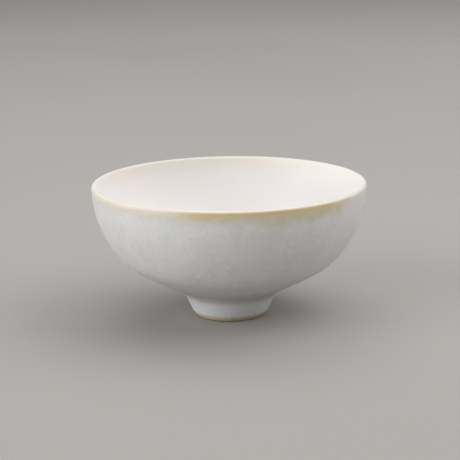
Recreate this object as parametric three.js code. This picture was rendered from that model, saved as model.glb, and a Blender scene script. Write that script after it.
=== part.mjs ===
// A footed sake cup: a thin thrown bowl on a tapered foot ring, with a pale blue-grey glaze outside,
// a white glaze inside and an ochre edge at the lip and at the foot.
// Millimetres, +Z up. The origin is the middle of the face that the cup stands on.
import * as THREE from "three";

// Driving sizes. Sizes of the bowl and foot are taken over the glaze.
const cupHeight = 44.5;
const rimRadius = 45;
const lipThickness = 1.5;
const glazeThickness = 0.35;
const floorPool = 0.35; // how much deeper the white glaze has pooled in the middle of the floor
const floorPoolRadius = 20;

// The outside, read downwards from the lip: arc radii, and the angles where each arc hands over to
// the next. An angle is the lean of the surface from upright, so 90 degrees is level.
const wallRadius = 35.4;
const wallEnd = 39.8;
const bellyRadius = 20.7;
const bellyEnd = 59;
const undersideRadius = 174;
const undersideEnd = 64;
const footFilletRadius = 8;
const footTaper = 23.7;

// The inside, in the same terms. The floor arc closes on the axis by itself.
const innerWallStart = 1.2;
const innerWallRadius = 32.6;
const innerWallEnd = 40.5;
const innerBellyRadius = 18.5;
const innerBellyEnd = 60;
const innerSlopeRadius = 150;
const innerSlopeEnd = 64;

// The clay foot ring below its joint with the bowl, and the recess inside it.
const footCornerRadius = 1.3;
const recessMouthRadius = 8.6;
const recessCeilingRadius = 8.2;
const recessCrown = 0.8; // how much higher the recess is in the middle than at its edge
const recessCornerRadius = 0.7;

// Where the glazes stop.
const lipBandOutside = 2; // height of the ochre edge down the outside
const lipBandInside = 1.1; // and down the inside
const footBandStart = 1.9; // height over the table where the blue-grey glaze stops
const footBandLean = 62; // lean of the foot's rounded corner where the ochre edge stops
const footBandTip = 0.12; // thickness of the ochre edge where it stops
const recessGlazeStop = 1.6; // height over the table where the glaze in the recess stops
const recessGlazeCorner = 1; // rounding of the glaze where the recess's wall meets its ceiling

// Facets: sides of each turned solid, and how far a facet may lie from the arc that it stands for.
const sides = 48;
const facetError = 0.055;

const radians = THREE.MathUtils.degToRad;
const degrees = THREE.MathUtils.radToDeg;

// Draws a turned outline as a run of tangent lines and arcs. The heading is the lean of the surface:
// 0 runs straight down, 90 runs in towards the axis, -90 runs out from it and 180 runs straight up.
class Outline {
  constructor(radius, height, heading) {
    this.heading = heading;
    this.points = [new THREE.Vector2(radius, height)];
  }

  get end() {
    return this.points[this.points.length - 1];
  }

  line(length) {
    const lean = radians(this.heading);
    const step = new THREE.Vector2(-Math.sin(lean), -Math.cos(lean)).multiplyScalar(length);
    this.points.push(this.end.clone().add(step));
    return this;
  }

  arc(radius, toHeading) {
    const start = this.end.clone();
    const from = radians(this.heading);
    const to = radians(toHeading);
    const side = Math.sign(toHeading - this.heading);
    const facetTurn = 2 * Math.acos(1 - facetError / radius);
    const steps = Math.ceil(Math.abs(to - from) / facetTurn);
    for (let i = 1; i <= steps; i++) {
      const lean = from + ((to - from) * i) / steps;
      const across = side * radius * (Math.cos(lean) - Math.cos(from));
      const down = side * radius * (Math.sin(lean) - Math.sin(from));
      this.points.push(new THREE.Vector2(start.x + across, start.y - down));
    }
    this.heading = toHeading;
    return this;
  }

  // Marks the stretch that ends here, so that a glaze can start or stop at it.
  mark() {
    return this.points.length - 1;
  }
}

const lipRadius = lipThickness / 2;
const lipMiddle = rimRadius - lipRadius;
const lipBandOutsideLean = degrees(Math.asin((lipBandOutside - lipRadius) / wallRadius));
const lipBandInsideLean =
  innerWallStart + degrees(Math.asin((lipBandInside - lipRadius) / innerWallRadius));

// The outside of the cup from the top of the lip to the foot, `depth` under the glaze's surface.
function outside(depth) {
  const outline = new Outline(lipMiddle, cupHeight - depth, -90);
  outline.arc(lipRadius - depth, 0).arc(wallRadius - depth, lipBandOutsideLean);
  const lipBandEnd = outline.mark();
  outline
    .arc(wallRadius - depth, wallEnd)
    .arc(bellyRadius - depth, bellyEnd)
    .arc(undersideRadius - depth, undersideEnd)
    .arc(footFilletRadius + depth, footTaper);
  const footStart = outline.mark();
  outline.line((outline.end.y - footBandStart) / Math.cos(radians(footTaper)));
  return { lipBandEnd, footStart, points: outline.points };
}

// The inside of the cup from the top of the lip to the middle of the floor.
function inside(depth) {
  const outline = new Outline(lipMiddle, cupHeight - depth, 90);
  outline.arc(lipRadius - depth, innerWallStart).arc(innerWallRadius + depth, lipBandInsideLean);
  const lipBandEnd = outline.mark();
  outline
    .arc(innerWallRadius + depth, innerWallEnd)
    .arc(innerBellyRadius + depth, innerBellyEnd)
    .arc(innerSlopeRadius + depth, innerSlopeEnd);
  outline.arc(outline.end.x / Math.cos(radians(innerSlopeEnd)), 90);
  outline.end.x = 0;
  return { lipBandEnd, points: outline.points };
}

const glazeOutside = outside(0);
const clayOutside = outside(glazeThickness);
const glazeInside = inside(0);
const clayInside = inside(glazeThickness);

// Under the bowl's clay a flat is turned, level with the foot of the fillet, and the ring is luted
// to that flat. Inside the ring the clay is turned out to a shallow dome.
const lutingHeight = clayOutside.points[clayOutside.footStart].y;

// The clay ring's outer wall, from the luted joint round its lower corner to the resting face.
function footRingWall() {
  const wall = new Outline(clayOutside.points[clayOutside.footStart].x, lutingHeight, footTaper);
  const bandTop = clayOutside.points[clayOutside.points.length - 1];
  wall.points.push(bandTop.clone());
  const bandTopMark = wall.mark();
  const cornerDrop = footCornerRadius * (1 - Math.sin(radians(footTaper)));
  wall.line((bandTop.y - cornerDrop) / Math.cos(radians(footTaper)));
  wall.arc(footCornerRadius, footBandLean);
  const bandEnd = wall.mark();
  wall.arc(footCornerRadius, 90);
  wall.end.y = 0;
  return { points: wall.points, bandTopMark, bandEnd };
}

const ringWall = footRingWall();

// The lean of the recess's wall, which narrows a little towards the bowl.
const recessLean = Math.atan2(recessMouthRadius - recessCeilingRadius, lutingHeight);

function recessRadiusAt(height) {
  return recessMouthRadius - height * Math.tan(recessLean);
}

const domeRadius = (recessCeilingRadius ** 2 + recessCrown ** 2) / (2 * recessCrown);

// The recess's ceiling from the axis out to `reach`, at `depth` below the clay.
function recessCeiling(depth, reach) {
  const edgeLean = degrees(Math.asin(reach / (domeRadius - depth)));
  const middle = lutingHeight + recessCrown - depth;
  return new Outline(0, middle, -90).arc(domeRadius - depth, edgeLean - 90);
}

const clayCeiling = recessCeiling(0, recessCeilingRadius).points;

// Turns a closed outline of radius and height points into a solid about +Z, with its faces outward.
function turned(name, outline, material) {
  const closed = outline[0].x > 0 ? [...outline, outline[0].clone()] : [...outline];
  if (THREE.ShapeUtils.isClockWise(closed)) closed.reverse();
  const geometry = new THREE.LatheGeometry(closed, sides).rotateX(Math.PI / 2);
  const mesh = new THREE.Mesh(geometry, material);
  mesh.name = name;
  return mesh;
}

// A coat lies between the glaze's surface and the clay under it, over the same stretch of both.
function coat(name, surface, clay, material) {
  return turned(name, [...surface, ...[...clay].reverse()], material);
}

const clayMaterial = new THREE.MeshStandardMaterial({ color: 0xcbb79b, roughness: 0.85, metalness: 0 });
const blueGreyGlaze = new THREE.MeshStandardMaterial({ color: 0xb4b9b9, roughness: 0.42, metalness: 0 });
const whiteGlaze = new THREE.MeshStandardMaterial({ color: 0xe9e5e1, roughness: 0.38, metalness: 0 });
const ochreEdge = new THREE.MeshStandardMaterial({ color: 0xc9b380, roughness: 0.45, metalness: 0 });

function bowlWall() {
  const down = clayOutside.points.slice(0, clayOutside.footStart + 1);
  const up = [...clayInside.points].reverse().slice(0, -1);
  return turned("bowl_wall", [...up, ...down, ...[...clayCeiling].reverse()], clayMaterial);
}

// The ring's resting face runs in to a rounded corner, and from there the recess's wall runs up.
function footRing() {
  const cornerTop = recessCornerRadius * (1 - Math.sin(recessLean));
  const cornerStart = recessRadiusAt(cornerTop) + recessCornerRadius * Math.cos(recessLean);
  const corner = new Outline(cornerStart, 0, 90).arc(recessCornerRadius, 180 - degrees(recessLean));
  const innerTop = new THREE.Vector2(recessCeilingRadius, lutingHeight);
  return turned("foot_ring", [...ringWall.points, ...corner.points, innerTop], clayMaterial);
}

function outerGlaze() {
  return coat(
    "outer_glaze",
    glazeOutside.points.slice(glazeOutside.lipBandEnd),
    clayOutside.points.slice(clayOutside.lipBandEnd),
    blueGreyGlaze,
  );
}

// The white glaze is a little thicker towards the middle of the floor, where it pooled.
function linerGlaze() {
  const surface = glazeInside.points.slice(glazeInside.lipBandEnd);
  const pooled = surface.map((p) => {
    const share = Math.max(0, 1 - (p.x / floorPoolRadius) ** 2);
    return new THREE.Vector2(p.x, p.y + floorPool * share);
  });
  return coat("liner_glaze", pooled, clayInside.points.slice(clayInside.lipBandEnd), whiteGlaze);
}

// The ochre edge caps the lip, from inside the mouth over the top and down the outside.
function lipBand() {
  const over = (line, outer) => [
    ...line.points.slice(1, line.lipBandEnd + 1).reverse(),
    ...outer.points.slice(0, outer.lipBandEnd + 1),
  ];
  return coat("lip_band", over(glazeInside, glazeOutside), over(clayInside, clayOutside), ochreEdge);
}

// Where the blue-grey glaze thins out round the foot's lower corner it shows the same ochre.
function footBand() {
  const clay = ringWall.points.slice(ringWall.bandTopMark, ringWall.bandEnd + 1);
  const leans = clay.map((_, i) => {
    const turn = Math.max(0, i - 1) / (clay.length - 2);
    return radians(footTaper + (footBandLean - footTaper) * turn);
  });
  const surface = clay.map((p, i) => {
    const share = i / (clay.length - 1);
    const thickness = glazeThickness + (footBandTip - glazeThickness) * share;
    return new THREE.Vector2(
      p.x + thickness * Math.cos(leans[i]),
      p.y - thickness * Math.sin(leans[i]),
    );
  });
  surface[0].copy(glazeOutside.points[glazeOutside.points.length - 1]);
  return coat("foot_band", surface, clay, ochreEdge);
}

// The same glaze covers the ceiling and most of the wall of the recess inside the foot ring.
function recessGlaze() {
  const stop = new THREE.Vector2(recessRadiusAt(recessGlazeStop), recessGlazeStop);
  const wallTop = recessRadiusAt(lutingHeight - recessGlazeCorner) - glazeThickness;
  const cornerMiddle = wallTop - recessGlazeCorner * Math.cos(recessLean);
  const glazedDome = domeRadius - glazeThickness;
  const reach = (cornerMiddle * glazedDome) / (glazedDome - recessGlazeCorner);
  const surface = recessCeiling(glazeThickness, reach);
  surface.arc(recessGlazeCorner, -degrees(recessLean));
  surface.points.push(new THREE.Vector2(stop.x - glazeThickness, stop.y));
  return coat("recess_glaze", surface.points, [...clayCeiling, stop], blueGreyGlaze);
}

const sakeCup = new THREE.Group();
sakeCup.add(bowlWall(), footRing(), outerGlaze(), linerGlaze(), lipBand(), footBand(), recessGlaze());

export default sakeCup;
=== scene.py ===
import math

import bpy
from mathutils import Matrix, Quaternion, Vector


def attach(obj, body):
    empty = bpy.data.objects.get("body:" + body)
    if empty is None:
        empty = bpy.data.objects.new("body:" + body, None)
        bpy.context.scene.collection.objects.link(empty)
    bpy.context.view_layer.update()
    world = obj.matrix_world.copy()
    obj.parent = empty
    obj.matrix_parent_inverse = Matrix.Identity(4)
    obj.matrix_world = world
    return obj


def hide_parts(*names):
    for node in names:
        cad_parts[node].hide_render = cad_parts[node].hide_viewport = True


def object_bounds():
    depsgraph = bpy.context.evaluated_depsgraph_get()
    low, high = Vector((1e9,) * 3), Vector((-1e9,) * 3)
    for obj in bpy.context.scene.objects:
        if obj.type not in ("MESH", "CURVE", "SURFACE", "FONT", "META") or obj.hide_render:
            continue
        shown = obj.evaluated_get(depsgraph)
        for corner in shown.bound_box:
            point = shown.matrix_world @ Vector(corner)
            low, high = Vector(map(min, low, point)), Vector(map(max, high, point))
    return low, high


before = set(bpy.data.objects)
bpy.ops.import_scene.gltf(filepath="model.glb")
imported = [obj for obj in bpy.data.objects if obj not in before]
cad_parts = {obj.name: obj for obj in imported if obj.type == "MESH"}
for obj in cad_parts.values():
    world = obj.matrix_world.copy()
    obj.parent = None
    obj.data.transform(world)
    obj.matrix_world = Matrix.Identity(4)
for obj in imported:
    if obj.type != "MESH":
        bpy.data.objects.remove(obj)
cadLow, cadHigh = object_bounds()
scene = bpy.context.scene
mm = 0.001


# The camera looks over the front of the lip from half a metre away.
cameraSet = {
    "distance": 0.5,
    "elevation": 14.2,
    "roll": 0.84,  # the right side of the cup stands a little higher
    "focalPixels": 1507,
    "frameSide": 460,
    "middlePixel": (229.6, 247.1),  # where the middle of the cup lies in the frame
    "sensorWidth": 36,
    "clipStart": 0.01,
    "clipEnd": 20,
}


def addCamera(name, values):
    data = bpy.data.cameras.new(name)
    data.sensor_width = values["sensorWidth"]
    data.lens = data.sensor_width * values["focalPixels"] / values["frameSide"]
    data.clip_start = values["clipStart"]
    data.clip_end = values["clipEnd"]
    camera = bpy.data.objects.new(name, data)
    scene.collection.objects.link(camera)
    elevation = math.radians(values["elevation"])
    back = Vector((0, -math.cos(elevation), math.sin(elevation)))
    camera.location = (cadLow + cadHigh) / 2 + back * values["distance"]
    half = values["frameSide"] / 2
    right, down = ((pixel - half) / values["focalPixels"] for pixel in values["middlePixel"])
    level = (-back).to_track_quat("-Z", "Y")
    turn = Quaternion((0, 1, 0), math.atan(right)) @ Quaternion((1, 0, 0), math.atan(down))
    roll = Quaternion((0, 0, 1), -math.radians(values["roll"]))
    camera.rotation_mode = "QUATERNION"
    camera.rotation_quaternion = level @ turn @ roll
    scene.camera = camera


addCamera("photoCamera", cameraSet)
print("camera placed")


# Node helpers. A value given for an input is a socket to link or a number to set.
def addNode(tree, kind, inputs=(), **settings):
    made = tree.nodes.new(kind)
    for key, value in settings.items():
        setattr(made, key, value)
    pairs = inputs.items() if isinstance(inputs, dict) else enumerate(inputs)
    for key, value in pairs:
        if isinstance(value, bpy.types.NodeSocket):
            tree.links.new(value, made.inputs[key])
        else:
            made.inputs[key].default_value = value
    return made


def calculate(tree, operation, *values):
    return addNode(tree, "ShaderNodeMath", values, operation=operation).outputs[0]


def calculateVector(tree, operation, *values):
    made = addNode(tree, "ShaderNodeVectorMath", values, operation=operation)
    return made.outputs["Value" if operation in ("LENGTH", "DOT_PRODUCT") else "Vector"]


def remap(tree, value, low, high, toLow=0.0, toHigh=1.0, blend="SMOOTHSTEP"):
    inputs = {"Value": value, "From Min": low, "From Max": high, "To Min": toLow, "To Max": toHigh}
    return addNode(tree, "ShaderNodeMapRange", inputs, interpolation_type=blend).outputs[0]


# Runs from low to high with a noise, which mostly stays within `swing` of a half.
def vary(tree, pattern, low=0.0, high=1.0, swing=0.2):
    return remap(tree, pattern, 0.5 - swing, 0.5 + swing, low, high)


def blendColours(tree, share, first, second):
    inputs = {0: share, 6: first, 7: second}
    return addNode(tree, "ShaderNodeMix", inputs, data_type="RGBA").outputs[2]


def blendValues(tree, share, first, second):
    inputs = {0: share, 2: first, 3: second}
    return addNode(tree, "ShaderNodeMix", inputs, data_type="FLOAT").outputs[0]


def noise(tree, place, featureSize, detail=2.0, roughness=0.5):
    inputs = {
        "Vector": place,
        "Scale": 1 / featureSize,
        "Detail": detail,
        "Roughness": roughness,
    }
    return addNode(tree, "ShaderNodeTexNoise", inputs).outputs["Fac"]


# An sRGB colour of 0 to 255 as Blender's linear one.
def paint(*shades):
    shares = [shade / 255 for shade in shades]
    return (*(v / 12.92 if v <= 0.04045 else ((v + 0.055) / 1.055) ** 2.4 for v in shares), 1.0)


# The bowl's turned outlines. A lean is the angle of the surface from upright, in degrees, and the
# arcs run down from the lip, each with its radius and the lean that it ends at.
bowlShape = {
    "lipThickness": 1.5 * mm,
    "glazeThickness": 0.35 * mm,
    "lipBandOutside": 2 * mm,
    "lipBandInside": 1.1 * mm,
    "outsideArcs": [(35.4 * mm, 39.8), (20.7 * mm, 59), (174 * mm, 64)],
    "filletRadius": 8 * mm,
    "footTaper": 23.7,
    "footBandStart": 1.9 * mm,  # the height at which the foot's ochre edge starts
    "insideStart": 1.2,  # the inner wall's lean just below the lip
    "insideArcs": [(32.6 * mm, 40.5), (18.5 * mm, 60), (150 * mm, 64)],
    "floorPool": 0.35 * mm,  # the white glaze is thicker by this in the middle of the floor
    "floorPoolRadius": 20 * mm,
    "facetLength": 0.4 * mm,
    "hiddenFacetLength": 1.5 * mm,  # for the clay's face under the glaze
}
rimRadius, cupHeight = cadHigh.x, cadHigh.z
lipRadius = bowlShape["lipThickness"] / 2
lipMiddle = rimRadius - lipRadius
lipCentreHeight = cupHeight - lipRadius


# Follows an arc from one lean to another and gives its points, the last one included.
def arcPoints(start, radius, fromLean, toLean, facetLength):
    first, last = math.radians(fromLean), math.radians(toLean)
    side = 1 if last > first else -1
    steps = max(3, math.ceil(radius * abs(last - first) / facetLength))
    leans = [first + (last - first) * (i + 1) / steps for i in range(steps)]
    return [
        (
            start[0] + side * radius * (math.cos(lean) - math.cos(first)),
            start[1] - side * radius * (math.sin(lean) - math.sin(first)),
        )
        for lean in leans
    ]


def linePoints(start, end, facetLength):
    steps = max(1, math.ceil(math.dist(start, end) / facetLength))
    shares = [(i + 1) / steps for i in range(steps)]
    across, up = end[0] - start[0], end[1] - start[1]
    return [(start[0] + across * share, start[1] + up * share) for share in shares]


# Adds a run of arcs to an outline and gives the lean that it ends at. Depth is how far the outline
# lies under the glaze: `grow` is 1 where that makes the radius larger, and -1 where smaller.
def addArcs(points, arcs, lean, depth, grow, facetLength):
    for radius, nextLean in arcs:
        points += arcPoints(points[-1], radius + grow * depth, lean, nextLean, facetLength)
        lean = nextLean
    return lean


# The outside from the lip's crest down to where the ochre of the foot starts. Tight curves, here
# and inside, get shorter facets.
def outsideLine(depth, facetLength):
    wallRadius = bowlShape["outsideArcs"][0][0]
    bandLean = math.degrees(math.asin((bowlShape["lipBandOutside"] - lipRadius) / wallRadius))
    points = [(lipMiddle, cupHeight - depth)]
    points += arcPoints(points[-1], lipRadius - depth, -90, 0, facetLength / 4)
    points += arcPoints(points[-1], wallRadius - depth, 0, bandLean, facetLength)
    lipEnd = len(points) - 1
    lean = addArcs(points, bowlShape["outsideArcs"], bandLean, depth, -1, facetLength)
    taper = bowlShape["footTaper"]
    fillet = bowlShape["filletRadius"] + depth
    points += arcPoints(points[-1], fillet, lean, taper, facetLength / 2)
    footStart = len(points) - 1
    drop = points[-1][1] - bowlShape["footBandStart"]
    foot = (points[-1][0] - drop * math.tan(math.radians(taper)), bowlShape["footBandStart"])
    points += linePoints(points[-1], foot, facetLength)
    return {"points": points, "lipEnd": lipEnd, "footStart": footStart}


# The inside from the lip's crest down to the middle of the floor.
def insideLine(depth, facetLength):
    start = bowlShape["insideStart"]
    wallRadius = bowlShape["insideArcs"][0][0]
    bandDrop = bowlShape["lipBandInside"] - lipRadius
    bandLean = start + math.degrees(math.asin(bandDrop / wallRadius))
    points = [(lipMiddle, cupHeight - depth)]
    points += arcPoints(points[-1], lipRadius - depth, 90, start, facetLength / 4)
    points += arcPoints(points[-1], wallRadius + depth, start, bandLean, facetLength)
    lipEnd = len(points) - 1
    lean = addArcs(points, bowlShape["insideArcs"], bandLean, depth, 1, facetLength)
    floorRadius = points[-1][0] / math.cos(math.radians(lean))
    points += arcPoints(points[-1], floorRadius, lean, 90, facetLength)
    points[-1] = (0, points[-1][1])
    return {"points": points, "lipEnd": lipEnd}


# The glaze's face and the clay's face under it.
fine, coarse = bowlShape["facetLength"], bowlShape["hiddenFacetLength"]
glazeDepth = bowlShape["glazeThickness"]
glazeOutside, clayOutside = outsideLine(0, fine), outsideLine(glazeDepth, coarse)
glazeInside, clayInside = insideLine(0, fine), insideLine(glazeDepth, coarse)
lutingHeight = clayOutside["points"][clayOutside["footStart"]][1]


turningSet = {
    "Sides": 256,
    "Crease Angle": math.radians(35),  # sharper edges than this stay crisp
    "Merge Distance": 0.001 * mm,
}


# Revolves an outline about Z. The points of the incoming mesh are the outline, read in order: each
# column of a grid stands for one of them, and each row for a step of the turn.
def turningTree(name):
    tree = bpy.data.node_groups.new(name, "GeometryNodeTree")
    tree.is_modifier = True
    for label, kind in (
        ("Outline", "NodeSocketGeometry"),
        ("Outline Points", "NodeSocketInt"),
        ("Sides", "NodeSocketInt"),
        ("Crease Angle", "NodeSocketFloat"),
        ("Merge Distance", "NodeSocketFloat"),
        ("Material", "NodeSocketMaterial"),
    ):
        tree.interface.new_socket(label, in_out="INPUT", socket_type=kind)
    tree.interface.new_socket("Geometry", in_out="OUTPUT", socket_type="NodeSocketGeometry")
    given = addNode(tree, "NodeGroupInput").outputs
    columns = calculate(tree, "SUBTRACT", given["Outline Points"], 1)
    gridSize = {
        "Size X": columns,
        "Size Y": given["Sides"],
        "Vertices X": given["Outline Points"],
        "Vertices Y": calculate(tree, "ADD", given["Sides"], 1),
    }
    body = addNode(tree, "GeometryNodeMeshGrid", gridSize).outputs["Mesh"]
    position = addNode(tree, "GeometryNodeInputPosition").outputs[0]
    place = addNode(tree, "ShaderNodeSeparateXYZ", (position,)).outputs
    fromEdge = calculate(tree, "ADD", place["X"], calculate(tree, "DIVIDE", columns, 2))
    sample = {
        "Geometry": given["Outline"],
        "Value": position,
        "Index": calculate(tree, "ROUND", fromEdge),
    }
    sampled = addNode(tree, "GeometryNodeSampleIndex", sample, data_type="FLOAT_VECTOR")
    turnShare = calculate(tree, "DIVIDE", place["Y"], given["Sides"])
    turn = {
        "Vector": sampled.outputs["Value"],
        "Angle": calculate(tree, "MULTIPLY", turnShare, math.tau),
    }
    turned = addNode(tree, "ShaderNodeVectorRotate", turn, rotation_type="Z_AXIS").outputs[0]
    edgeAngle = addNode(tree, "GeometryNodeInputMeshEdgeAngle").outputs["Unsigned Angle"]
    soft = calculate(tree, "LESS_THAN", edgeAngle, given["Crease Angle"])
    for kind, inputs, settings in (
        ("GeometryNodeSetPosition", {"Position": turned}, {}),
        ("GeometryNodeMergeByDistance", {"Distance": given["Merge Distance"]}, {}),
        ("GeometryNodeSetShadeSmooth", {"Shade Smooth": soft}, {"domain": "EDGE"}),
        ("GeometryNodeRealizeInstances", {}, {}),
        ("GeometryNodeSetMaterial", {"Material": given["Material"]}, {}),
    ):
        body = addNode(tree, kind, {"Geometry": body, **inputs}, **settings).outputs[0]
    tree.links.new(body, addNode(tree, "NodeGroupOutput").inputs["Geometry"])
    return tree


turning = turningTree("turnAboutAxis")


def setInput(modifier, label, value):
    for item in modifier.node_group.interface.items_tree:
        if item.item_type == "SOCKET" and item.in_out == "INPUT" and item.name == label:
            modifier[item.identifier] = value


# Makes one turned piece from an outline that starts and ends on the axis or closes on itself.
def turnedPiece(name, outline, material, nodes):
    if outline[0][0] > 0:
        outline = [*outline, outline[0]]
    area = sum(a[0] * b[1] - b[0] * a[1] for a, b in zip(outline, outline[1:]))
    if area < 0:  # the order of the points decides which way the faces point
        outline = outline[::-1]
    mesh = bpy.data.meshes.new(name + "Outline")
    mesh.from_pydata([(r, 0, z) for r, z in outline], [], [])
    holder = bpy.data.objects.new(name + "Outline", mesh)
    scene.collection.objects.link(holder)
    modifier = holder.modifiers.new("turn", "NODES")
    modifier.node_group = turning
    values = {**turningSet, "Outline Points": len(outline), "Material": material}
    for label, value in values.items():
        setInput(modifier, label, value)
    evaluated = holder.evaluated_get(bpy.context.evaluated_depsgraph_get())
    piece = bpy.data.objects.new(name, bpy.data.meshes.new_from_object(evaluated))
    bpy.data.objects.remove(holder)
    scene.collection.objects.link(piece)
    piece.data.name = name
    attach(piece, "root")
    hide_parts(*nodes)
    print(name, len(piece.data.polygons), "faces")


# Where a point of the surface lies about the cup's axis.
def heightOf(tree, place):
    return addNode(tree, "ShaderNodeSeparateXYZ", (place,)).outputs["Z"]


def axisDistance(tree, place):
    flat = calculateVector(tree, "MULTIPLY", place, (1, 1, 0))
    return calculateVector(tree, "LENGTH", flat)


def outwardWay(tree, place):
    flat = calculateVector(tree, "MULTIPLY", place, (1, 1, 0))
    return calculateVector(tree, "NORMALIZE", flat)


# The way over the surface from the lip's crest, in metres: outside is above zero.
def lipDistance(tree, place):
    across = calculate(tree, "SUBTRACT", axisDistance(tree, place), lipMiddle)
    up = calculate(tree, "SUBTRACT", heightOf(tree, place), lipCentreHeight)
    angle = calculate(tree, "ARCTAN2", calculate(tree, "MAXIMUM", up, 0), across)
    fromCrest = calculate(tree, "SUBTRACT", math.pi / 2, angle)
    overLip = calculate(tree, "MULTIPLY", fromCrest, lipRadius)
    below = calculate(tree, "MAXIMUM", calculate(tree, "MULTIPLY", up, -1), 0)
    downWall = calculate(tree, "MULTIPLY", below, calculate(tree, "SIGN", across))
    return calculate(tree, "ADD", overLip, downWall)


# Coordinates that follow the wall: round the cup at the lip's radius, and drawn out down the wall.
def drawnPlace(tree, place, stretch):
    ring = calculateVector(tree, "MULTIPLY", outwardWay(tree, place), (rimRadius,) * 3)
    height = calculateVector(tree, "MULTIPLY", place, (0, 0, 1 / stretch))
    return calculateVector(tree, "ADD", ring, height)


# Each veil is a second colour that a noise lays over the first. It starts and is full at two values
# of the noise. A shift picks where it shows, and `drawn` stretches it down the wall.
outsideLook = {
    "ground": paint(213, 213, 212),
    "veils": {
        "warmCloud": {
            "colour": paint(207, 202, 197),
            "shift": (2.36, 0.32, 1.3),
            "size": 11 * mm,
            "detail": 1,
            "starts": 0.4,
            "full": 0.75,
            "strength": 0.8,
        },
        "coolCloud": {
            "colour": paint(203, 206, 205),
            "shift": (0.45, 2.53, 0.88),
            "size": 11 * mm / 3,
            "detail": 2,
            "starts": 0.45,
            "full": 0.75,
            "strength": 0.7,
        },
        "fleck": {
            "colour": paint(229, 230, 230),
            "size": 1.35 * mm,
            "detail": 2,
            "starts": 0.48,
            "full": 0.76,
            "strength": 0.41,
        },
        "streak": {
            "colour": paint(229, 230, 230),
            "drawn": 5,
            "size": 1.8 * mm,
            "detail": 2,
            "starts": 0.45,
            "full": 0.75,
            "strength": 0.1,
        },
    },
    "footGlazeAndPaintedHighlight": paint(214, 217, 219),
    "paintedFootHighlightHeights": (7.5 * mm, 5 * mm),  # where the foot's paler, cooler tone starts and is full: a painted highlight
    "paintedFilletShade": paint(184, 188, 188),
    "paintedFilletShadeHeights": (15 * mm, 8.8 * mm),  # the same for the painted shade, darker, in the fillet above the foot
    "paintedFilletShadeEnd": (6 * mm, 8 * mm),
    "paintedFootLightStrength": 0.75,
}
insideLook = {
    "ground": paint(231, 228, 226),
    "cloud": {
        "colour": paint(229, 223, 221),
        "size": 16 * mm,
        "detail": 2,
        "starts": 0.35,
        "full": 0.7,
        "strength": 0.5,
    },
    # The middle of the floor is painted darker: painted shade in the bowl's hollow.
    "pooled": paint(225, 223, 220),
    "pooledRadii": (12 * mm, 25 * mm),  # full inside the first, gone outside the second
    "pooledStrength": 0.8,
}


def addVeil(tree, place, colour, veil):
    if "shift" in veil:
        place = calculateVector(tree, "ADD", place, veil["shift"])
    if "drawn" in veil:
        place = drawnPlace(tree, place, veil["drawn"])
    pattern = noise(tree, place, veil["size"], veil["detail"])
    share = remap(tree, pattern, veil["starts"], veil["full"], 0, veil["strength"])
    return blendColours(tree, share, colour, veil["colour"])


def blueGreyColour(tree, place):
    colour = outsideLook["ground"]
    for veil in outsideLook["veils"].values():
        colour = addVeil(tree, place, colour, veil)
    # The foot is painted paler and cooler: a painted highlight.
    height, strength = heightOf(tree, place), outsideLook["paintedFootLightStrength"]
    paintedFootHighlight = remap(tree, height, *outsideLook["paintedFootHighlightHeights"], 0, strength)
    colour = blendColours(tree, paintedFootHighlight, colour, outsideLook["footGlazeAndPaintedHighlight"])
    # The fillet above the foot is painted darker: painted shade.
    paintedFilletShadeTop = remap(tree, height, *outsideLook["paintedFilletShadeHeights"], 0, strength)
    end = remap(tree, height, *outsideLook["paintedFilletShadeEnd"])
    paintedFilletShade = calculate(tree, "MULTIPLY", paintedFilletShadeTop, end)
    return blendColours(tree, paintedFilletShade, colour, outsideLook["paintedFilletShade"])


def whiteColour(tree, place):
    colour = addVeil(tree, place, insideLook["ground"], insideLook["cloud"])
    # The middle of the floor is painted darker, as painted shade.
    strength = insideLook["pooledStrength"]
    pool = remap(tree, axisDistance(tree, place), *insideLook["pooledRadii"], strength, 0)
    return blendColours(tree, pool, colour, insideLook["pooled"])


# How the glaze breaks over the lip. Each stop has its way from the crest in millimetres, where
# outside is above zero, a colour, and how much of it covers the glaze.
insideStops = [
    (-6, paint(225, 217, 206), 0.0),
    (-3.5, paint(226, 218, 206), 0.35),
    (-1.6, paint(230, 223, 211), 0.8),
    (-1.0, paint(225, 221, 212), 0.9),
]
paleStops = [
    *insideStops,
    # These two stops by the crest are darker than those round them: painted shade that tempers the
    # light from above.
    (-0.3, paint(216, 212, 204), 0.95),
    (0.15, paint(211, 207, 200), 1.0),
    (0.6, paint(224, 217, 206), 1.0),
    (1.2, paint(230, 223, 208), 1.0),
    (1.6, paint(224, 216, 199), 0.95),
    (2.2, paint(217, 210, 194), 0.9),
    (2.8, paint(211, 205, 190), 0.75),
    (3.6, paint(209, 203, 192), 0.45),
    (5.2, paint(209, 203, 192), 0.0),
]
warmStops = [
    *insideStops,
    (-0.4, paint(220, 215, 205), 0.95),
    (0.3, paint(225, 219, 206), 1.0),
    (0.6, paint(229, 218, 192), 1.0),
    (0.92, paint(223, 203, 166), 1.0),
    (1.25, paint(215, 191, 145), 1.0),
    (1.65, paint(210, 189, 145), 1.0),
    (2.1, paint(206, 193, 159), 0.95),
    (3.4, paint(198, 191, 162), 0.75),
    (4.3, paint(196, 191, 163), 0.55),
    (5.2, paint(196, 192, 167), 0.28),
    (6.4, paint(196, 192, 167), 0.0),
]

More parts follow.
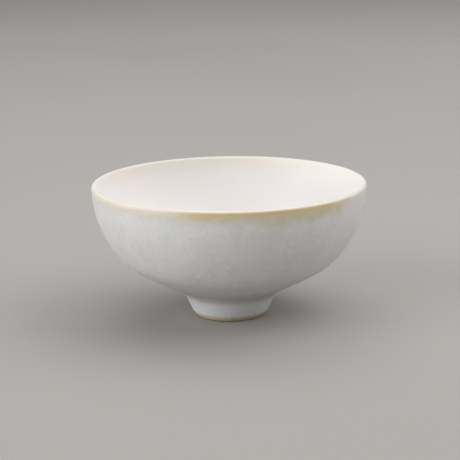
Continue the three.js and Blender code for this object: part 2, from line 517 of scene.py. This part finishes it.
# Each "Around" gives a side of the cup, in degrees from the front and turning to the right, then
# how far to each side of it a first value holds, and where a second one starts.
edgeLook = {
    "reach": 7 * mm,  # the stops are laid out over this much to each side of the crest
    "warmAround": (14, 20, 48),  # where the edge is ochre and not pale
    "warmUneven": 0.06,  # the ochre's ends are ragged by this share of the way round
    "warmPatchSize": 9 * mm,
    "warmAside": (0.03, 0.14, 0.54),  # shifts that pick which patches show
    "runAround": (40, 4, 48),  # where the ochre runs furthest down the wall
    "runLong": -0.45 * mm,  # added to the way from the crest, so less than zero is further down
    "runShort": 1.2 * mm,
    "fullAround": (-10, 45, 80),  # the pale stretch, which thins out to `thinShare` past it
    "thinShare": 0.6,
    "backAround": (197, 30, 85),  # inside, the cream is strong at the back, more so to the left
    "backShare": 1.15,
    "frontShare": 0.5,
    "crestBlend": (0.2 * mm, -0.6 * mm),  # where the outside's shares give way to the inside's
    "streakSize": 2.2 * mm,
    "streakDraw": 3,  # how many times longer than wide the streaks are, down the wall
    "streakSwing": 0.25,
    "creep": 0.4 * mm,  # how far the edge wanders with each streak
    "patchSize": 9 * mm,
    "patchCreep": 0.5 * mm,
    "patchAside": (0.25, 2.82, 1.42),
    "firmTop": (1.6 * mm, 3.6 * mm),  # near the crest the edge wanders by `firmShare` alone
    "firmShare": 0.08,
    "islandSize": 3.4 * mm,  # islands of thinner and fuller ochre
    "islandSwing": 0.15,
    "islandShares": (0.76, 1.26),
    "islandTop": (1.7 * mm, 2.3 * mm),  # where the islands start and are full
    "throwLine": paint(200, 186, 160),
    "throwSize": 8 * mm,
    "throwDraw": 0.11,  # below one, so the pattern is pressed flat into rings
    "throwContrast": (0.5, 0.66),
    "throwShare": 0.3,
    "throwTop": (0.6 * mm, 1.0 * mm),  # where the rings start and are full, and the same below
    "throwEnd": (3.0 * mm, 2.4 * mm),
}


def distanceRamp(tree, distance, stops):
    reach = edgeLook["reach"]
    share = remap(tree, distance, -reach, reach, blend="LINEAR")
    ramp = addNode(tree, "ShaderNodeValToRGB", (share,))
    elements = ramp.color_ramp.elements
    while len(elements) > 1:
        elements.remove(elements[-1])
    for index, (stopDistance, shade, strength) in enumerate(stops):
        position = 0.5 + stopDistance * mm / reach / 2
        element = elements[0] if index == 0 else elements.new(position)
        element.position = position
        element.color = (*shade[:3], strength)
    return ramp.outputs


# A value at one side of the cup that turns into another one round the lip.
def aroundCup(tree, place, around, firstValue, secondValue, uneven=0.0):
    side, core, end = (math.radians(degrees) for degrees in around)
    towards = (math.sin(side), -math.cos(side), 0)
    facing = calculateVector(tree, "DOT_PRODUCT", outwardWay(tree, place), towards)
    if uneven:
        aside = calculateVector(tree, "ADD", place, edgeLook["warmAside"])
        patch = noise(tree, aside, edgeLook["warmPatchSize"])
        facing = calculate(tree, "ADD", facing, vary(tree, patch, -uneven, uneven))
    return remap(tree, facing, math.cos(end), math.cos(core), secondValue, firstValue)


# The edge wanders up and down by fine streaks and by broad patches, less so near the crest.
def edgeCreep(tree, place):
    streakPlace = drawnPlace(tree, place, edgeLook["streakDraw"])
    streak = noise(tree, streakPlace, edgeLook["streakSize"])
    aside = calculateVector(tree, "ADD", place, edgeLook["patchAside"])
    patch = noise(tree, aside, edgeLook["patchSize"], 1)
    creep, patchCreep = edgeLook["creep"], edgeLook["patchCreep"]
    return calculate(
        tree,
        "ADD",
        vary(tree, streak, -creep, creep, edgeLook["streakSwing"]),
        vary(tree, patch, -patchCreep, patchCreep),
    )


# Thin darker rings that the throwing left under the lip.
def throwingLines(tree, place, way):
    line = noise(tree, drawnPlace(tree, place, edgeLook["throwDraw"]), edgeLook["throwSize"], 1)
    share = remap(tree, line, *edgeLook["throwContrast"], 0, edgeLook["throwShare"])
    share = calculate(tree, "MULTIPLY", share, remap(tree, way, *edgeLook["throwTop"]))
    return calculate(tree, "MULTIPLY", share, remap(tree, way, *edgeLook["throwEnd"]))


def edgeTint(tree, place, colour):
    way = lipDistance(tree, place)
    freedom = remap(tree, way, *edgeLook["firmTop"], edgeLook["firmShare"], 1)
    creep = calculate(tree, "MULTIPLY", edgeCreep(tree, place), freedom)
    shifted = calculate(tree, "ADD", way, creep)

    pale = distanceRamp(tree, shifted, paleStops)
    outside = aroundCup(tree, place, edgeLook["fullAround"], 1, edgeLook["thinShare"])
    inside = aroundCup(
        tree, place, edgeLook["backAround"], edgeLook["backShare"], edgeLook["frontShare"]
    )
    thinning = blendValues(tree, remap(tree, way, *edgeLook["crestBlend"]), outside, inside)
    paleShare = calculate(tree, "MULTIPLY", pale["Alpha"], thinning)
    paleEdge = blendColours(tree, paleShare, colour, pale["Color"])

    run = aroundCup(tree, place, edgeLook["runAround"], edgeLook["runLong"], edgeLook["runShort"])
    run = calculate(tree, "MULTIPLY", run, freedom)
    warm = distanceRamp(tree, calculate(tree, "ADD", shifted, run), warmStops)
    island = noise(tree, place, edgeLook["islandSize"])
    patchy = vary(tree, island, *edgeLook["islandShares"], edgeLook["islandSwing"])
    patchy = blendValues(tree, remap(tree, way, *edgeLook["islandTop"]), 1.0, patchy)
    warmShare = calculate(tree, "MULTIPLY", warm["Alpha"], patchy)
    warmEdge = blendColours(tree, warmShare, colour, warm["Color"])

    warmth = aroundCup(tree, place, edgeLook["warmAround"], 1, 0, edgeLook["warmUneven"])
    edge = blendColours(tree, warmth, paleEdge, warmEdge)
    return blendColours(tree, throwingLines(tree, place, way), edge, edgeLook["throwLine"])


# The ochre round the foot's lower corner, where the glaze was wiped thin.
footLook = {
    "ochre": paint(190, 180, 146),
    "ochreHeights": (2.3 * mm, 1.0 * mm),  # where it starts and is full
    "deepOchre": paint(174, 146, 96),
    "deepHeights": (0.5 * mm, 0.1 * mm),
    "streakSize": 1.5 * mm,
    "streakDetail": 3,
    "streakRoughness": 0.6,
    "streakDraw": 2,
    "creep": 0.3 * mm,
}


def footStreak(tree, place):
    streakPlace = drawnPlace(tree, place, footLook["streakDraw"])
    detail, roughness = footLook["streakDetail"], footLook["streakRoughness"]
    return noise(tree, streakPlace, footLook["streakSize"], detail, roughness)


def footTint(tree, place, streak, colour):
    creep = vary(tree, streak, -footLook["creep"], footLook["creep"])
    height = calculate(tree, "ADD", heightOf(tree, place), creep)
    ochre = remap(tree, height, *footLook["ochreHeights"])
    colour = blendColours(tree, ochre, colour, footLook["ochre"])
    deep = remap(tree, height, *footLook["deepHeights"])
    return blendColours(tree, deep, colour, footLook["deepOchre"])


clayLook = {
    "pale": paint(196, 170, 138),
    "dark": paint(178, 148, 114),
    "cloudSize": 4 * mm,
    "grain": paint(120, 92, 66),
    "grainSize": 0.35 * mm,
    "grainDetail": 4,
    "grainRoughness": 0.7,
    "grainContrast": (0.6, 0.75),
    "grainStrength": 0.6,
}

# The feel of each finish: its roughness from low to high, and the depth of its fine relief.
feel = {
    "outside": {"swellSize": 1.6 * mm, "roughness": (0.45, 0.55), "depth": 0.012 * mm},
    "inside": {"swellSize": 3 * mm, "roughness": (0.46, 0.54), "depth": 0.012 * mm},
    "lip": {"swellSize": 1.1 * mm, "roughness": (0.5, 0.6), "depth": 0.015 * mm},
    "foot": {"roughness": (0.4, 0.5), "depth": 0.02 * mm},
    "clay": {"roughness": (0.75, 0.9), "depth": 0.05 * mm},
    "floor": {"swellSize": 1 * mm, "roughness": 0.85, "depth": 0.02 * mm},
}


# Starts a material and gives it with its node tree and the coordinates on the piece.
def newMaterial(name):
    material = bpy.data.materials.new(name)
    material.use_nodes = True
    tree = material.node_tree
    tree.nodes.clear()
    return material, tree, addNode(tree, "ShaderNodeTexCoord").outputs["Object"]


# Finishes a material: one pattern varies its roughness and is its relief.
def finishMaterial(tree, colour, pattern, finish):
    roughness, depth = feel[finish]["roughness"], feel[finish]["depth"]
    bump = addNode(tree, "ShaderNodeBump", {"Strength": 1.0, "Distance": depth, "Height": pattern})
    inputs = {
        "Base Color": colour,
        "Roughness": vary(tree, pattern, *roughness) if isinstance(roughness, tuple) else roughness,
        "Normal": bump.outputs[0],
        "IOR": 1.5,
    }
    shader = addNode(tree, "ShaderNodeBsdfPrincipled", inputs)
    output = addNode(tree, "ShaderNodeOutputMaterial")
    tree.links.new(shader.outputs[0], output.inputs["Surface"])


def outerGlaze():
    material, tree, place = newMaterial("blueGreyGlaze")
    colour = footTint(tree, place, footStreak(tree, place), blueGreyColour(tree, place))
    swell = noise(tree, place, feel["outside"]["swellSize"])
    finishMaterial(tree, edgeTint(tree, place, colour), swell, "outside")
    return material


def linerGlaze():
    material, tree, place = newMaterial("whiteGlaze")
    colour = edgeTint(tree, place, whiteColour(tree, place))
    finishMaterial(tree, colour, noise(tree, place, feel["inside"]["swellSize"], 1), "inside")
    return material


def lipGlaze():
    material, tree, place = newMaterial("lipGlaze")
    outside = calculate(tree, "GREATER_THAN", lipDistance(tree, place), 0)
    base = blendColours(tree, outside, whiteColour(tree, place), blueGreyColour(tree, place))
    swell = noise(tree, place, feel["lip"]["swellSize"])
    finishMaterial(tree, edgeTint(tree, place, base), swell, "lip")
    return material


def footGlazeAndPaintedHighlight():
    material, tree, place = newMaterial("footGlazeAndPaintedHighlight")
    streak = footStreak(tree, place)
    colour = footTint(tree, place, streak, blueGreyColour(tree, place))
    finishMaterial(tree, colour, streak, "foot")
    return material


def bareClay():
    material, tree, place = newMaterial("bareClay")
    cloud = noise(tree, place, clayLook["cloudSize"])
    detail, roughness = clayLook["grainDetail"], clayLook["grainRoughness"]
    grain = noise(tree, place, clayLook["grainSize"], detail, roughness)
    colour = blendColours(tree, vary(tree, cloud), clayLook["pale"], clayLook["dark"])
    share = remap(tree, grain, *clayLook["grainContrast"], 0, clayLook["grainStrength"])
    finishMaterial(tree, blendColours(tree, share, colour, clayLook["grain"]), grain, "clay")
    return material


blueGreyGlaze, whiteGlaze, edgeGlaze = outerGlaze(), linerGlaze(), lipGlaze()
footEdgeGlaze, clay = footGlazeAndPaintedHighlight(), bareClay()
print("finishes made")


def outerCoat():
    surface = glazeOutside["points"][glazeOutside["lipEnd"] :]
    back = clayOutside["points"][clayOutside["lipEnd"] :]
    outline = surface + back[::-1]
    turnedPiece("outerGlazeCoat", outline, blueGreyGlaze, ["outer_glaze"])


def linerCoat():
    pool, poolRadius = bowlShape["floorPool"], bowlShape["floorPoolRadius"]
    surface = [
        (r, z + pool * max(0, 1 - (r / poolRadius) ** 2))
        for r, z in glazeInside["points"][glazeInside["lipEnd"] :]
    ]
    back = clayInside["points"][clayInside["lipEnd"] :]
    outline = surface + back[::-1]
    turnedPiece("linerGlazeCoat", outline, whiteGlaze, ["liner_glaze"])


# The stretch over the lip, from where the edge starts inside to where it ends outside.
def overLip(inner, outer):
    return inner["points"][1 : inner["lipEnd"] + 1][::-1] + outer["points"][: outer["lipEnd"] + 1]


def lipCoat():
    outline = overLip(glazeInside, glazeOutside) + overLip(clayInside, clayOutside)[::-1]
    turnedPiece("lipGlazeEdge", outline, edgeGlaze, ["lip_band"])


footShape = {
    "corner": 1.3 * mm,
    "glazeEnd": 62,  # the lean at which the ochre edge ends, on the way round the corner
    "glazeTip": 0.12 * mm,  # how thick it is there
    "facetLength": 0.15 * mm,
}


# The clay foot's wall below the blue-grey glaze, down and round its lower corner.
def footWall():
    taper, corner = bowlShape["footTaper"], footShape["corner"]
    glazeEnd, facetLength = footShape["glazeEnd"], footShape["facetLength"]
    bandTop = clayOutside["points"][-1]
    lean = math.radians(taper)
    cornerDrop = corner * (1 - math.sin(lean))
    cornerStart = (bandTop[0] - (bandTop[1] - cornerDrop) * math.tan(lean), cornerDrop)
    points = [bandTop] + linePoints(bandTop, cornerStart, facetLength)
    straightEnd = len(points) - 1
    points += arcPoints(points[-1], corner, taper, glazeEnd, facetLength)
    bandEnd = len(points) - 1
    points += arcPoints(points[-1], corner, glazeEnd, 90, facetLength)
    return {"points": points, "straightEnd": straightEnd, "bandEnd": bandEnd}


wallOfFoot = footWall()


# The edge's glaze lies on the clay wall and thins out evenly towards its tip.
def footCoat():
    straightEnd, bandEnd = wallOfFoot["straightEnd"], wallOfFoot["bandEnd"]
    wall = wallOfFoot["points"][: bandEnd + 1]
    taper = bowlShape["footTaper"]
    surface = []
    for index, (r, z) in enumerate(wall):
        turn = max(0, index - straightEnd) / (bandEnd - straightEnd)
        lean = math.radians(taper + (footShape["glazeEnd"] - taper) * turn)
        thickness = glazeDepth + (footShape["glazeTip"] - glazeDepth) * index / bandEnd
        surface.append((r + thickness * math.cos(lean), z - thickness * math.sin(lean)))
    surface[0] = glazeOutside["points"][-1]
    outline = surface + wall[::-1]
    turnedPiece("footGlazeEdge", outline, footEdgeGlaze, ["foot_band"])


recessShape = {
    "mouthRadius": 8.6 * mm,
    "ceilingRadius": 8.2 * mm,
    "crown": 0.8 * mm,  # how far the ceiling is domed
    "mouthCorner": 0.7 * mm,
    "glazeCorner": 1 * mm,
    "glazeStop": 1.6 * mm,  # the glaze ends at this height over the table
    "cornerFacetLength": 0.15 * mm,
    "facetLength": 0.5 * mm,
}
recessNarrowing = recessShape["mouthRadius"] - recessShape["ceilingRadius"]
recessLean = math.atan2(recessNarrowing, lutingHeight)
crown = recessShape["crown"]
domeRadius = (recessShape["ceilingRadius"] ** 2 + crown**2) / (2 * crown)


def recessRadius(height):
    return recessShape["mouthRadius"] - height * math.tan(recessLean)


# The clay ring, luted to the bowl at its top.
def clayFoot():
    corner, facetLength = recessShape["mouthCorner"], recessShape["cornerFacetLength"]
    cornerTop = corner * (1 - math.sin(recessLean))
    cornerStart = (recessRadius(cornerTop) + corner * math.cos(recessLean), 0)
    upright = 180 - math.degrees(recessLean)
    innerCorner = arcPoints(cornerStart, corner, 90, upright, facetLength)
    top = [clayOutside["points"][clayOutside["footStart"]]]
    ceilingEdge = [(recessShape["ceilingRadius"], lutingHeight)]
    outline = top + wallOfFoot["points"] + [cornerStart] + innerCorner + ceilingEdge
    turnedPiece("clayFootRing", outline, clay, ["foot_ring"])


# The recess's ceiling from the axis out to `reach`, at `depth` below the clay, and its last lean.
def recessCeiling(depth, reach):
    lean = math.degrees(math.asin(reach / (domeRadius - depth))) - 90
    middle = (0, lutingHeight + crown - depth)
    dome = arcPoints(middle, domeRadius - depth, -90, lean, recessShape["facetLength"])
    return [middle] + dome, lean


def recessCoat():
    corner = recessShape["glazeCorner"]
    stop = (recessRadius(recessShape["glazeStop"]), recessShape["glazeStop"])
    wallTop = recessRadius(lutingHeight - corner) - glazeDepth
    cornerMiddle = wallTop - corner * math.cos(recessLean)
    glazedDome = domeRadius - glazeDepth
    surface, lean = recessCeiling(glazeDepth, cornerMiddle * glazedDome / (glazedDome - corner))
    wallLean = -math.degrees(recessLean)
    surface += arcPoints(surface[-1], corner, lean, wallLean, recessShape["cornerFacetLength"])
    surface += linePoints(surface[-1], (stop[0] - glazeDepth, stop[1]), recessShape["facetLength"])
    back, _ = recessCeiling(0, recessShape["ceilingRadius"])
    outline = surface + [stop] + back[::-1]
    turnedPiece("recessGlazeCoat", outline, blueGreyGlaze, ["recess_glaze"])


for makePiece in (outerCoat, linerCoat, lipCoat, footCoat, clayFoot, recessCoat):
    makePiece()
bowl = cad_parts["bowl_wall"]  # the clay under the coats stays as it is in the CAD model
bowl.data.materials.clear()
bowl.data.materials.append(clay)
print("pieces made")


# A plain pale floor and soft light. Azimuth is the way round from the camera to the right, in
# degrees. Sizes and distances are in metres, and powers in watts.
floorLook = {
    "radius": 12.0,
    "sides": 64,
    "colour": paint(163, 159, 156),
    "cloud": paint(159, 155, 152),
    "cloudSize": 0.4,
}
softboxes = {
    "back": {"azimuth": 180, "elevation": 65, "distance": 1.3, "size": (1.4, 1.4), "power": 7.2},
    "front": {"azimuth": 0, "elevation": 50, "distance": 1.3, "size": (1.4, 1.4), "power": 3.0},
    "key": {"azimuth": -60, "elevation": 28, "distance": 1.1, "size": (1.0, 0.8), "power": 5.4},
    "lowKey": {"azimuth": -80, "elevation": 4.5, "distance": 5.5, "size": (5.0, 1.0), "power": 90},
    "side": {"azimuth": 90, "elevation": 45, "distance": 1.3, "size": (1.4, 1.4), "power": 9.6},
    "edge": {"azimuth": 115, "elevation": 8, "distance": 5.5, "size": (5.0, 1.5), "power": 21},
}
roomLight = {"colour": (1.0, 1.0, 1.0, 1.0), "strength": 0.3}


def addFloor():
    mesh = bpy.data.meshes.new("floor")
    radius, sides = floorLook["radius"], floorLook["sides"]
    turns = [math.tau * i / sides for i in range(sides)]
    corners = [(radius * math.cos(turn), radius * math.sin(turn), 0) for turn in turns]
    mesh.from_pydata(corners, [], [range(sides)])
    floor = bpy.data.objects.new("floor", mesh)
    scene.collection.objects.link(floor)
    material, tree, place = newMaterial("paleFloor")
    cloud = vary(tree, noise(tree, place, floorLook["cloudSize"]))
    colour = blendColours(tree, cloud, floorLook["colour"], floorLook["cloud"])
    finishMaterial(tree, colour, noise(tree, place, feel["floor"]["swellSize"]), "floor")
    mesh.materials.append(material)


def addSoftbox(name, values):
    around, up = math.radians(values["azimuth"]), math.radians(values["elevation"])
    outward = (math.sin(around) * math.cos(up), -math.cos(around) * math.cos(up), math.sin(up))
    way = Vector(outward)
    data = bpy.data.lights.new(name, "AREA")
    data.shape = "ELLIPSE"
    data.size, data.size_y = values["size"]
    data.energy = values["power"]
    light = bpy.data.objects.new(name, data)
    light.location = way * values["distance"]
    light.rotation_mode = "QUATERNION"
    light.rotation_quaternion = way.to_track_quat("Z", "Y")
    scene.collection.objects.link(light)


def addRoomLight(name, values):
    world = bpy.data.worlds.new(name)
    world.use_nodes = True
    background = world.node_tree.nodes["Background"]
    background.inputs["Color"].default_value = values["colour"]
    background.inputs["Strength"].default_value = values["strength"]
    scene.world = world


addFloor()
for boxName, boxValues in softboxes.items():
    addSoftbox(boxName, boxValues)
addRoomLight("softRoom", roomLight)
scene.view_settings.view_transform = "Standard"
print("floor and light placed")
